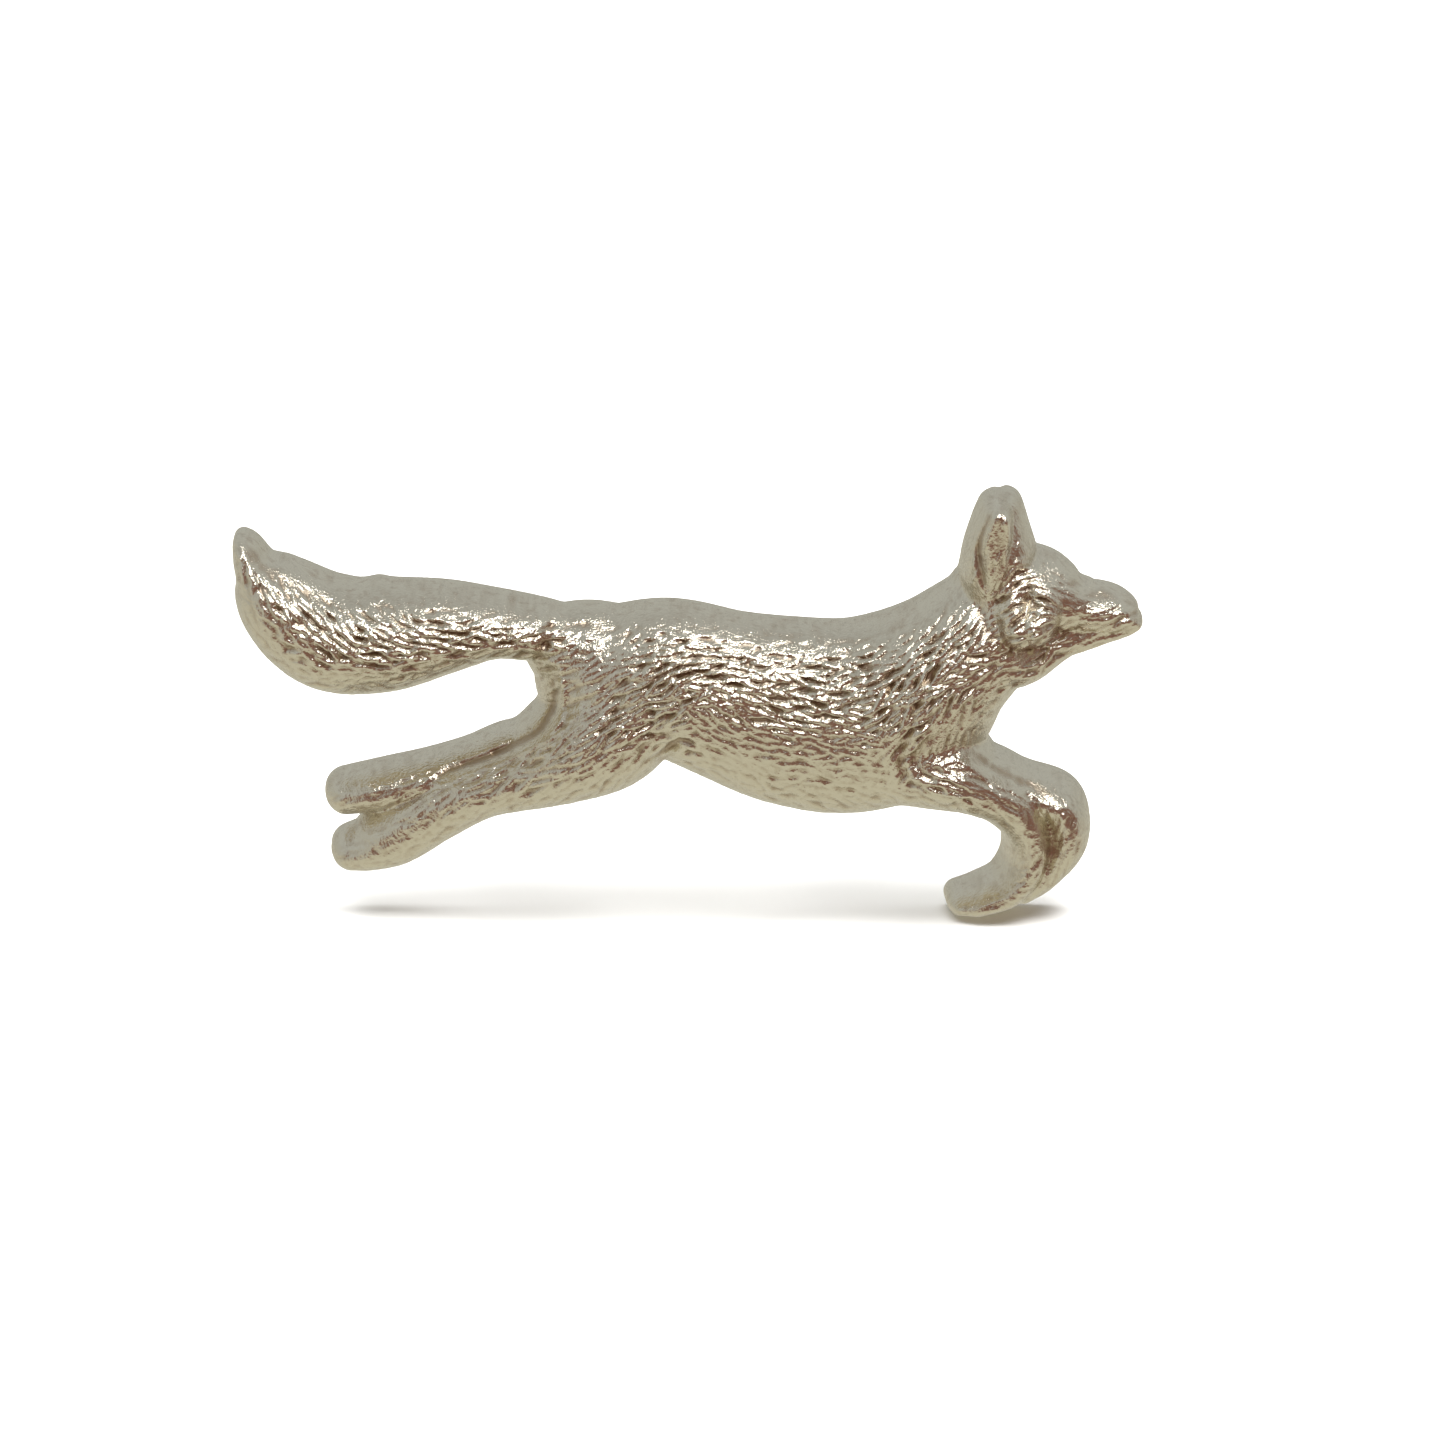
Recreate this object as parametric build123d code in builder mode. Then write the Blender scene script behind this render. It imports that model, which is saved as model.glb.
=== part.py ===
"""Running fox brooch: a flat-backed metal relief of a fox with a hinged pin and a roll-over safety catch.

The animal runs towards +X and stands upright along +Z. Its flat back lies on the plane Y = 0, where the
cloth bears, its relief rises towards -Y and the pin fittings stand on the back towards +Y. Sizes are in
millimetres.
"""

from build123d import *
import os
from math import cos, radians, sin

# Casting
fox_length = 50.0  # nose to tail
relief_depth = 6.1  # back plane to the highest point, on the near thigh
drawn_length = 50.0  # the length and depth that the stations below are drawn at
drawn_depth = 6.1

# Where the two fittings stand on the back, each soldered into its own recessed seat
hinge_station = -4.6
catch_station = 14.2
fitting_station = 1.2
seat_depth = 0.3
seat_margin = 0.3  # from the solder's edge to the seat's wall
stem_height = 3.1  # back plane to the pin's centre line

# Pin stem
stem_radius = 0.4
tip_radius = 0.06
point_length = 4.6
point_past_catch = 1.4
eye_radius = 1.1
eye_thickness = 1.2
neck_length = 2.4  # hinge axis to where the wire is round

# Hinge
rivet_radius = 0.45
rivet_head_radius = 0.75
rivet_head_height = 0.35
ear_thickness = 0.6
ear_radius = 1.15
side_gap = 0.1  # each side of the eye, between the ears
running_gap = 0.05  # radial clearance of what turns on or in something

# Feet of both fittings, and the solder that holds them
foot_thickness = 0.5
foot_overhang = 0.5  # how far a foot stands out past what it carries
foot_corner = 0.4
solder_thickness = 0.12
solder_width = 0.45
solder_height = 0.4

# Safety catch
rotor_radius = 1.2
rotor_wall = 0.5
barrel_wall = 0.55
barrel_length = 2.4
mouth_width = 1.15
neck_width = 1.7
lever_width = 0.8
lever_thickness = 0.6
lever_gap = 0.1
lever_reach = 3.3  # rotor axis to the centre of the lever's rounded end
lever_knob_radius = 0.45
lever_angle = 75.0  # from the mouth's direction, with the catch open

# Stations along each limb: x, z, half width across the limb, depth of relief
back_and_neck = [
    (-8.2, 2.9, 1.9, 3.0),
    (-7.6, 2.6, 2.95, 4.3),
    (-6.1, 1.9, 3.95, 5.2),
    (-3.6, 1.2, 4.55, 5.6),
    (-0.9, 1.35, 4.55, 5.5),
    (2.4, 0.25, 5.1, 5.6),
    (5.7, -0.6, 5.4, 5.8),
    (9.0, -0.8, 5.5, 6.0),
    (12.0, -0.1, 5.7, 6.1),
    (14.2, 1.75, 5.0, 5.9),
    (16.2, 3.6, 4.1, 5.4),
    (17.8, 5.4, 3.4, 5.0),
]
head = [
    (16.4, 6.5, 1.8, 4.2),
    (17.5, 6.0, 2.9, 5.3),
    (18.9, 5.5, 3.4, 5.7),
    (20.0, 5.25, 3.25, 5.2),
    (21.1, 5.2, 2.65, 4.6),
    (22.2, 5.1, 2.05, 3.9),
    (23.3, 5.15, 1.65, 3.4),
    (24.4, 5.1, 1.05, 2.8),
    (24.9, 5.05, 0.55, 2.1),
]
near_ear = [
    (16.8, 6.6, 1.6, 5.1),
    (16.45, 8.4, 1.35, 4.8),
    (16.6, 10.2, 1.1, 4.3),
    (16.9, 11.5, 0.75, 3.9),
    (17.0, 12.05, 0.35, 3.4),
]
far_ear = [
    (18.1, 7.4, 1.5, 3.2),
    (18.1, 9.6, 1.1, 2.8),
    (18.0, 11.2, 0.8, 2.4),
    (17.9, 12.0, 0.45, 2.0),
    (17.85, 12.25, 0.2, 1.6),
]
tail = [
    (-5.6, 3.6, 1.4, 3.4),
    (-7.2, 4.1, 1.5, 3.6),
    (-8.6, 4.25, 1.85, 3.8),
    (-10.8, 4.5, 1.95, 4.3),
    (-13.5, 4.35, 2.6, 4.8),
    (-16.8, 4.0, 3.2, 5.1),
    (-19.9, 4.2, 3.2, 5.1),
    (-22.2, 5.6, 2.6, 4.8),
    (-23.6, 7.5, 1.45, 4.0),
    (-24.3, 9.0, 0.75, 3.2),
    (-24.5, 9.7, 0.35, 2.4),
]
near_hind_leg = [
    (-2.5, 0.9, 3.05, 5.4),
    (-4.3, -0.7, 3.75, 6.0),
    (-6.3, -2.5, 3.1, 5.8),
    (-8.6, -4.05, 2.1, 5.2),
    (-11.3, -5.5, 1.45, 4.6),
    (-14.1, -7.0, 1.4, 4.4),
    (-16.6, -8.25, 1.55, 4.4),
    (-18.4, -8.55, 1.35, 4.0),
    (-19.3, -8.5, 0.6, 3.0),
]
far_hind_leg = [
    (-5.3, 0.8, 1.9, 3.4),
    (-7.3, -0.2, 1.65, 3.6),
    (-9.1, -1.7, 1.35, 3.6),
    (-11.3, -2.95, 1.2, 3.4),
    (-14.1, -3.95, 1.2, 3.4),
    (-16.6, -4.85, 1.5, 3.4),
    (-18.5, -5.2, 1.35, 3.2),
    (-19.4, -5.3, 0.6, 2.6),
]
near_foreleg = [
    (12.2, -0.8, 3.0, 5.4),
    (14.2, -2.4, 2.8, 6.0),
    (15.9, -3.9, 2.1, 5.9),
    (17.5, -5.15, 1.65, 5.5),
    (18.7, -6.9, 1.4, 5.2),
    (18.8, -8.8, 1.3, 4.9),
    (17.8, -10.3, 1.15, 4.6),
    (16.1, -10.85, 0.95, 4.2),
    (14.9, -11.0, 0.75, 3.8),
    (14.3, -11.05, 0.35, 3.0),
]
far_foreleg = [
    (16.4, -3.2, 1.4, 3.6),
    (18.9, -4.75, 1.15, 3.8),
    (20.8, -6.0, 1.25, 3.6),
    (21.15, -7.8, 1.2, 3.4),
    (20.1, -9.4, 1.1, 3.2),
    (18.9, -10.4, 0.9, 2.8),
]
limbs = (back_and_neck, head, near_ear, far_ear, tail, near_hind_leg, far_hind_leg, near_foreleg, far_foreleg)

# Values that follow from the ones above
length_scale = fox_length / drawn_length
depth_scale = relief_depth / drawn_depth
hinge_x = hinge_station * length_scale
catch_x = catch_station * length_scale
fitting_z = fitting_station * length_scale
foot_base = solder_thickness - seat_depth
foot_top = foot_base + foot_thickness
ear_offset = eye_thickness / 2 + side_gap
shank_end = ear_offset + ear_thickness
eye_bore = rivet_radius + running_gap
barrel_bore = rotor_radius + running_gap
barrel_radius = barrel_bore + barrel_wall
barrel_start = catch_x - barrel_length / 2
rotor_bore = rotor_radius - rotor_wall
hinge_foot = (2 * (ear_radius + foot_overhang), 2 * (shank_end + foot_overhang))
catch_foot = (barrel_length + 2 * foot_overhang, neck_width + 2 * foot_overhang)


def sections(stations):
    """Gives each station's plane, square to the limb's centre line, with its half width and depth."""
    points = [Vector(x, 0, z) * length_scale for x, z, _, _ in stations]
    for index, (_, _, half_width, depth) in enumerate(stations):
        before = points[max(index - 1, 0)]
        after = points[min(index + 1, len(points) - 1)]
        plane = Plane(origin=points[index], x_dir=(0, 1, 0), z_dir=after - before)
        yield plane, half_width * length_scale, depth * depth_scale


def back_plane(x, height):
    """A plane parallel to the flat back behind a fitting, at that height above it, facing the cloth."""
    return Plane(origin=(x, height, fitting_z), x_dir=(1, 0, 0), z_dir=(0, 1, 0))


def cross_plane(x, angle=0.0):
    """A plane across the pin's line, whose own x points away from the back, turned up by that angle."""
    x_dir = (0, cos(radians(angle)), sin(radians(angle)))
    return Plane(origin=(x, stem_height, fitting_z), x_dir=x_dir, z_dir=(1, 0, 0))


def hinge_plane(offset=0.0):
    """A plane square to the rivet, at that offset along it, whose own y points away from the back."""
    return Plane(origin=(hinge_x, stem_height, fitting_z + offset), x_dir=(1, 0, 0), z_dir=(0, 0, 1))


def seat_size(foot):
    """The recess for a foot: its solder all round, and the margin past that."""
    return [side + 2 * (solder_width + seat_margin) for side in foot]


def solder_bead(x, foot):
    """Soft solder under a foot, with a sloping bead around its edge."""
    wide = [side + 2 * solder_width for side in foot]
    with BuildPart() as bead:
        with BuildSketch(back_plane(x, -seat_depth)):
            RectangleRounded(*wide, foot_corner + solder_width)
        with BuildSketch(back_plane(x, solder_height - seat_depth)):
            RectangleRounded(*foot, foot_corner)
        loft()
        with BuildSketch(back_plane(x, foot_base)):
            RectangleRounded(*foot, foot_corner)
        extrude(amount=solder_height, mode=Mode.SUBTRACT)
    return bead.part


# Casting: elliptical limbs grown together, halved by the back plane, with a recess for each fitting.
with BuildPart() as fox_casting:
    for limb in limbs:
        for plane, half_width, depth in sections(limb):
            with BuildSketch(plane):
                Ellipse(depth, half_width)
        loft()
    split(bisect_by=Plane.XZ, keep=Keep.TOP)
    for x, foot in ((hinge_x, hinge_foot), (catch_x, catch_foot)):
        with BuildSketch(back_plane(x, -seat_depth)):
            RectangleRounded(*seat_size(foot), foot_corner + solder_width + seat_margin)
        extrude(amount=2 * seat_depth, mode=Mode.SUBTRACT)

hinge_solder = solder_bead(hinge_x, hinge_foot)
catch_solder = solder_bead(catch_x, catch_foot)

# Hinge bracket: a foot with two drilled ears, square to the rivet.
with BuildPart() as hinge_bracket:
    with BuildSketch(back_plane(hinge_x, foot_base)):
        RectangleRounded(*hinge_foot, foot_corner)
    extrude(amount=foot_thickness)
    for ear_start in (-shank_end, ear_offset):
        with BuildSketch(hinge_plane(ear_start)):
            Circle(ear_radius)
            with Locations((0, (foot_top - stem_height) / 2)):
                Rectangle(2 * ear_radius, stem_height - foot_top)
            Circle(rivet_radius, mode=Mode.SUBTRACT)
        extrude(amount=ear_thickness)

# Rivet: a plain shank with a domed head peened over each ear.
with BuildPart() as hinge_rivet:
    with BuildSketch(Plane(origin=(hinge_x, stem_height, fitting_z), x_dir=(1, 0, 0), z_dir=(0, -1, 0))):
        with BuildLine():
            Line((0, shank_end + rivet_head_height), (0, 0))
            Polyline((0, 0), (rivet_radius, 0), (rivet_radius, shank_end), (rivet_head_radius, shank_end))
            TangentArc((0, shank_end + rivet_head_height), (rivet_head_radius, shank_end), tangent=(1, 0))
        make_face()
    revolve(axis=Axis((hinge_x, stem_height, fitting_z), (0, 0, 1)))
    mirror(about=hinge_plane())

# Pin stem: a hammered and drilled eye, a round wire and a ground point.
stem_end = catch_x + barrel_length / 2 + point_past_catch
wire_start = hinge_x + neck_length
wire_end = stem_end - point_length
with BuildPart() as pin_stem:
    with BuildSketch(Plane(origin=(0, stem_height, fitting_z), x_dir=(1, 0, 0), z_dir=(0, -1, 0))):
        with BuildLine():
            Polyline(
                (hinge_x, 0),
                (hinge_x, eye_thickness / 2),
                (wire_start, stem_radius),
                (wire_end, stem_radius),
                (stem_end, tip_radius),
                (stem_end, 0),
                close=True,
            )
        make_face()
    revolve(axis=Axis((hinge_x, stem_height, fitting_z), (1, 0, 0)))
    with BuildSketch(hinge_plane(-eye_thickness / 2)):
        Circle(eye_radius)
    extrude(amount=eye_thickness)
    with BuildSketch(hinge_plane(-eye_thickness / 2)):
        Circle(eye_bore)
    extrude(amount=eye_thickness, mode=Mode.SUBTRACT)

# Catch body: a foot, a neck and a C-shaped barrel whose middle is cut away for the lever's swing.
lever_low_side = barrel_bore * cos(radians(lever_angle)) - lever_thickness / 2 * sin(radians(lever_angle))
window_floor = lever_low_side - lever_gap
window_length = lever_width + 2 * lever_gap
with BuildPart() as catch_body:
    with BuildSketch(back_plane(catch_x, foot_base)):
        RectangleRounded(*catch_foot, foot_corner)
    extrude(amount=foot_thickness)
    with BuildSketch(cross_plane(barrel_start)):
        Circle(barrel_radius)
        with Locations(((foot_top - stem_height) / 2, 0)):
            Rectangle(stem_height - foot_top, neck_width)
        Circle(barrel_bore, mode=Mode.SUBTRACT)
        with Locations((barrel_radius, 0)):
            Rectangle(2 * barrel_radius, mouth_width, mode=Mode.SUBTRACT)
    extrude(amount=barrel_length)
    with BuildSketch(cross_plane(catch_x - window_length / 2)):
        with Locations((window_floor + barrel_radius, 0)):
            Rectangle(2 * barrel_radius, 4 * barrel_radius)
    extrude(amount=window_length, mode=Mode.SUBTRACT)

# Catch rotor: a slotted sleeve that turns in the barrel, with a lever that rolls over the mouth to lock it.
lever_start = rotor_radius - rotor_wall / 2
with BuildPart() as catch_rotor:
    with BuildSketch(cross_plane(barrel_start)):
        Circle(rotor_radius)
        Circle(rotor_bore, mode=Mode.SUBTRACT)
        with Locations((rotor_radius, 0)):
            Rectangle(2 * rotor_radius, mouth_width, mode=Mode.SUBTRACT)
    extrude(amount=barrel_length)
    with BuildSketch(cross_plane(catch_x - lever_width / 2, lever_angle)):
        with Locations(((lever_start + lever_reach) / 2, 0)):
            Rectangle(lever_reach - lever_start, lever_thickness)
        with Locations((lever_reach, 0)):
            Circle(lever_knob_radius)
    extrude(amount=lever_width)

parts = {
    "fox_casting": fox_casting.part,
    "hinge_solder": hinge_solder,
    "catch_solder": catch_solder,
    "hinge_bracket": hinge_bracket.part,
    "hinge_rivet": hinge_rivet.part,
    "pin_stem": pin_stem.part,
    "catch_body": catch_body.part,
    "catch_rotor": catch_rotor.part,
}
os.makedirs("parts", exist_ok=True)
for name, part in parts.items():
    part.label = name
    export_step(part, f"parts/{name}.step")
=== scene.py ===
import bpy
import numpy as np
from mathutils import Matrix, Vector
from mathutils.geometry import delaunay_2d_cdt


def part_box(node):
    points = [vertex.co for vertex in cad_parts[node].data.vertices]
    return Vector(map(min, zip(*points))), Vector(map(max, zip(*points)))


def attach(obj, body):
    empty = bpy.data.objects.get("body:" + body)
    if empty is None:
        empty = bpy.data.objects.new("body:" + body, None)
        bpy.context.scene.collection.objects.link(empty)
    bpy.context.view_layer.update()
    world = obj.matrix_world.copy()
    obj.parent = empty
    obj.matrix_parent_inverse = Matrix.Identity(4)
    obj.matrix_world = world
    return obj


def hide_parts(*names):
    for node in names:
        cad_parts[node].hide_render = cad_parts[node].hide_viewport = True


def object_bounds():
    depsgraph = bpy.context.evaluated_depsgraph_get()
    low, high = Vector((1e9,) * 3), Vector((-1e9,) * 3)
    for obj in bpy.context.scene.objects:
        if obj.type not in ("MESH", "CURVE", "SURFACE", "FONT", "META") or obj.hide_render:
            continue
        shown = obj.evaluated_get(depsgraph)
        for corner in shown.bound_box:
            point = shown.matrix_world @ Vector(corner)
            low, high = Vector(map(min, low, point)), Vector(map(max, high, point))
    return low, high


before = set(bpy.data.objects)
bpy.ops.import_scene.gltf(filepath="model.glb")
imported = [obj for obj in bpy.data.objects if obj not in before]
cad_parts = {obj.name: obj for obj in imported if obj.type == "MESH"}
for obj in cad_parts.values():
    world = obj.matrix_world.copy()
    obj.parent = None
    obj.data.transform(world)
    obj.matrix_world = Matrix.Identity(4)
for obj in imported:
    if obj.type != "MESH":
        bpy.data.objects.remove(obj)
cadLow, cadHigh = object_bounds()
print("frame loaded:", ", ".join(sorted(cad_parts)))

mm = 0.001

# where the camera stands: in front of the relief and a little above it
shot = {
    "elevation": 17.0,      # degrees above the floor
    "distance": 0.2246,     # metres, lens to the aim point
    "lens": 100.0,
    "aimX": 2.03,           # mm, on the plane of the flat back
    "aimZ": -1.35,
    "nearClip": 0.01,       # metres
}
tilt = np.radians(shot["elevation"])


def smoothMax(a, b, k):
    # The larger of two fields, rounded over where they come within k of each other: max + e^2 k / 4, where e
    # is 1 where they are equal and falls to 0 where they are k apart.
    e = np.clip(k - np.abs(a - b), 0, None) / k
    return np.maximum(a, b) + e * e * k / 4


def smoothStep(x, low, high):
    # 0 below low, 1 above high, 3t^2 - 2t^3 between
    t = np.clip((x - low) / (high - low), 0, 1)
    return t * t * (3 - 2 * t)


def splinePoints(rows, perSpan=6):
    # Catmull-Rom curve through the rows, with every column carried along: between b and c, with a before and
    # d after, half of 2b + (c - a) t + (2a - 5b + 4c - d) t^2 + (3b - a - 3c + d) t^3
    p = np.asarray(rows, float)
    p = np.vstack([2 * p[0] - p[1], p, 2 * p[-1] - p[-2]])
    t = np.linspace(0, 1, perSpan, endpoint=False)[None, :, None]
    a, b, c, d = p[:-3, None], p[1:-2, None], p[2:-1, None], p[3:, None]
    bend, twist = 2 * a - 5 * b + 4 * c - d, 3 * b - a - 3 * c + d
    curve = 0.5 * (2 * b + (c - a) * t + bend * t**2 + twist * t**3)
    return np.vstack([curve.reshape(-1, p.shape[1]), p[-2]])


def nearestOnCurve(x, z, curve):
    # distance from each point to a chain of runs, and the chain's other columns at the nearest place
    best = np.full(x.shape, np.inf)
    values = np.zeros(x.shape + (curve.shape[1] - 2,))
    for start, end in zip(curve[:-1], curve[1:]):
        run = end[:2] - start[:2]
        t = np.clip(((x - start[0]) * run[0] + (z - start[1]) * run[1]) / (run @ run), 0, 1)
        distance = np.hypot(x - start[0] - t * run[0], z - start[1] - t * run[1])
        closer = distance < best
        best = np.where(closer, distance, best)
        values = np.where(closer[..., None], start[2:] + t[..., None] * (end[2:] - start[2:]), values)
    return best, values


# one flat drawing grid, in millimetres, for the masses and for the details drawn over them
gridStep = 0.05
gridSpan = {"x": (-27.0, 27.5), "z": (-13.5, 14.0)}
gridX = np.arange(*gridSpan["x"], gridStep)
gridZ = np.arange(*gridSpan["z"], gridStep)
flatX, flatZ = np.meshgrid(gridX, gridZ, indexing="ij")


def around(rows, margin):
    # the part of the grid near some points
    p = np.asarray(rows, float)
    i = np.clip(np.searchsorted(gridX, [p[:, 0].min() - margin, p[:, 0].max() + margin]), 0, len(gridX))
    k = np.clip(np.searchsorted(gridZ, [p[:, 1].min() - margin, p[:, 1].max() + margin]), 0, len(gridZ))
    return slice(*i), slice(*k)


def readGrid(field, x, z):
    # A field's value between the four grid points round a place, each weighted by nearness. Places off the
    # grid are read a hair inside its last cell.
    justInside = 1.001
    i = np.clip((x - gridX[0]) / gridStep, 0, len(gridX) - justInside)
    k = np.clip((z - gridZ[0]) / gridStep, 0, len(gridZ) - justInside)
    i0, k0 = i.astype(int), k.astype(int)
    shareX, shareZ = i - i0, k - k0
    low = field[i0, k0] * (1 - shareZ) + field[i0, k0 + 1] * shareZ
    high = field[i0 + 1, k0] * (1 - shareZ) + field[i0 + 1, k0 + 1] * shareZ
    return low * (1 - shareX) + high * shareX


def blur(field, sigma):
    # Gaussian blur of sigma millimetres, done on the field's spectrum
    fx = np.fft.fftfreq(field.shape[0], gridStep)[:, None]
    fz = np.fft.rfftfreq(field.shape[1], gridStep)[None, :]
    keep = np.exp(-2 * (np.pi * sigma) ** 2 * (fx**2 + fz**2))
    return np.fft.irfft2(np.fft.rfft2(field) * keep, s=field.shape)


# the animal's masses. Each row: x, z, half width across the limb, height of relief, all in millimetres
masses = {
    "torso": [
        (-6.9, 3.4, 2.2, 3.6), (-5.4, 2.6, 3.2, 4.2), (-3.6, 1.1, 4.5, 5.1), (-0.9, 1.4, 4.5, 5.6),
        (2.4, 0.4, 4.8, 5.7), (5.7, -0.5, 5.35, 5.8), (9.0, -0.8, 5.55, 6.0), (11.7, -0.05, 5.3, 6.1),
        (14.0, 1.95, 4.2, 5.8), (16.1, 3.85, 3.6, 4.9), (17.4, 5.3, 3.0, 4.2),
    ],
    "tail": [
        (-5.6, 3.6, 1.4, 3.4), (-7.2, 4.1, 1.6, 3.7), (-8.6, 4.35, 1.75, 4.0), (-10.8, 4.6, 1.95, 4.4),
        (-13.5, 4.4, 2.6, 4.9), (-16.8, 3.95, 3.2, 5.2), (-19.8, 4.15, 3.25, 5.2), (-22.15, 5.75, 2.6, 4.8),
        (-23.5, 7.45, 1.4, 4.0), (-24.1, 8.9, 0.85, 3.2), (-24.35, 9.4, 0.55, 2.6),
    ],
    "nearHindLeg": [
        (-2.6, 0.6, 3.1, 5.4), (-4.3, -1.0, 3.75, 6.0), (-6.3, -2.3, 3.2, 5.9), (-8.6, -3.45, 2.5, 5.2),
        (-11.3, -4.3, 2.2, 4.7), (-14.1, -5.75, 2.25, 4.2), (-16.2, -7.3, 2.05, 3.8),
        (-17.6, -8.15, 1.55, 3.4), (-18.75, -8.45, 1.3, 3.0),
    ],
    "farHindLeg": [
        (-5.3, 0.6, 1.9, 3.2), (-7.3, -0.9, 1.4, 3.4), (-8.9, -2.1, 1.3, 3.5), (-10.2, -2.65, 1.4, 3.4),
        (-11.9, -3.4, 1.4, 3.4), (-14.2, -4.1, 1.4, 3.4), (-16.4, -4.65, 1.45, 3.3), (-17.9, -4.95, 1.4, 3.1),
        (-18.95, -5.15, 1.35, 2.8),
    ],
    "nearForeleg": [
        (12.0, -2.4, 3.35, 5.6), (14.1, -3.05, 2.85, 6.0), (15.9, -4.0, 2.05, 5.9), (17.7, -4.9, 1.9, 5.3),
        (19.0, -6.6, 1.6, 4.9), (19.15, -8.6, 1.45, 4.6), (18.1, -10.3, 1.2, 4.4), (16.5, -11.05, 1.0, 4.1),
        (15.35, -11.3, 0.8, 3.6),
    ],
    "farForeleg": [
        (16.4, -3.7, 1.2, 3.9), (18.9, -4.65, 1.25, 4.1), (20.85, -5.65, 1.45, 4.3), (21.2, -7.6, 1.45, 4.2),
        (20.1, -9.4, 1.3, 3.6), (18.9, -10.6, 1.0, 3.2),
    ],
    "skull": [
        (17.2, 6.3, 2.0, 3.6), (18.2, 6.7, 2.4, 3.5), (19.2, 6.75, 2.25, 3.6), (20.0, 6.45, 2.0, 3.8),
        (20.7, 5.95, 1.85, 3.7), (21.4, 5.8, 1.65, 3.3), (22.1, 5.55, 1.5, 3.15), (22.8, 5.45, 1.5, 3.1),
        (23.4, 5.35, 1.4, 3.1), (24.0, 5.25, 1.1, 3.0), (24.5, 5.1, 0.75, 2.7),
    ],
    "throat": [
        (17.2, 3.2, 2.2, 4.7), (18.1, 2.75, 1.7, 4.3), (18.9, 2.95, 1.6, 3.9), (19.7, 3.35, 1.45, 3.4),
        (20.5, 3.85, 1.4, 3.0), (21.4, 4.1, 1.2, 2.7),
    ],
    "jaw": [
        (21.0, 4.1, 1.25, 2.7), (21.9, 4.35, 1.2, 2.6), (22.8, 4.6, 1.1, 2.55), (23.6, 4.75, 1.0, 2.5),
        (24.2, 4.85, 0.85, 2.45), (24.6, 4.95, 0.7, 2.4),
    ],
    "cheek": [
        (18.1, 5.1, 1.75, 5.4), (17.85, 6.0, 1.7, 4.9), (17.95, 6.9, 1.6, 4.2), (18.5, 7.5, 1.5, 3.7),
        (19.3, 7.0, 1.6, 4.1), (19.5, 6.2, 1.75, 4.7), (18.9, 5.3, 1.8, 5.4),
    ],
    "nearEar": [
        (16.8, 7.0, 1.7, 3.8), (16.6, 8.6, 1.4, 4.2), (16.8, 10.2, 1.15, 4.6), (16.95, 11.25, 0.9, 4.7),
    ],
    "farEar": [
        (17.5, 8.6, 1.9, 3.9), (17.35, 10.0, 1.6, 3.3), (17.35, 11.0, 1.3, 2.8), (17.6, 11.4, 0.9, 2.3),
    ],
}
# the masses are joined to the torso in this order, each rounded into those before it by so many square mm
joins = [
    ("nearHindLeg", 3.0), ("nearForeleg", 3.0), ("throat", 3.0), ("jaw", 0.8), ("skull", 0.8), ("cheek", 2.0),
    ("tail", 1.5), ("farHindLeg", 0.8), ("farForeleg", 4.0), ("farEar", 0.8), ("nearEar", 3.0),
]
domes = {
    "perSpan": 10,          # domes between two rows
    "reach": 9.0,           # mm round the rows that a mass is worked out in
    "outside": -60.0,       # square mm, the field beyond that
    "flatTopped": ("nearEar", "jaw"),
    "roundPower": 2,
    "flatPower": 4,
}


def massField(rows, power):
    # The relief's height over a limb, squared, as a row of overlapping domes along its curve: the greatest of
    # height^2 (1 - (distance / half width)^power), which is negative outside the limb.
    field = np.full(flatX.shape, domes["outside"])
    at = around(rows, domes["reach"])
    for x, z, halfWidth, relief in splinePoints(rows, domes["perSpan"]):
        away = ((flatX[at] - x) ** 2 + (flatZ[at] - z) ** 2) / halfWidth**2
        field[at] = np.maximum(field[at], relief**2 * (1 - away ** (power / 2)))
    return field


mass = massField(masses["torso"], domes["roundPower"])
for name, k in joins:
    power = domes["flatPower"] if name in domes["flatTopped"] else domes["roundPower"]
    mass = smoothMax(mass, massField(masses[name], power), k)

# nicks and lumps on the outline: x, z, radius, and roughly how far the edge moves out, all in mm. The field
# falls by about edgeFall square mm for each mm across the outline.
edgeFall = 14
nicks = [
    (-22.0, 8.3, 0.5, 0.08), (-18.0, 7.4, 0.6, -0.14), (-16.9, 7.3, 0.5, 0.12), (-25.2, 7.4, 0.5, -0.25),
    (22.0, 7.4, 0.4, -0.1), (25.3, 5.35, 0.25, -0.25), (15.0, 7.7, 0.5, 0.25), (17.25, 12.3, 0.25, -0.12),
]
for x, z, radius, out in nicks:
    mass += out * edgeFall * np.exp(-((flatX - x) ** 2 + (flatZ - z) ** 2) / radius**2)
height = np.sqrt(np.clip(mass, 0, None))
print("masses joined")

# Details are drawn on a flat sheet that stands square to the camera, and read back where each point of the
# relief is seen on it: its offset from the aim point, scaled by how much nearer to the lens it is.
toLens = height * np.cos(tilt) + (flatZ - shot["aimZ"]) * np.sin(tilt)
nearer = 1 / (1 - toLens * mm / shot["distance"])
sheetX = shot["aimX"] + (flatX - shot["aimX"]) * nearer
sheetRise = (flatZ - shot["aimZ"]) * np.cos(tilt) - height * np.sin(tilt)
sheetZ = shot["aimZ"] * np.cos(tilt) + sheetRise * nearer

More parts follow.
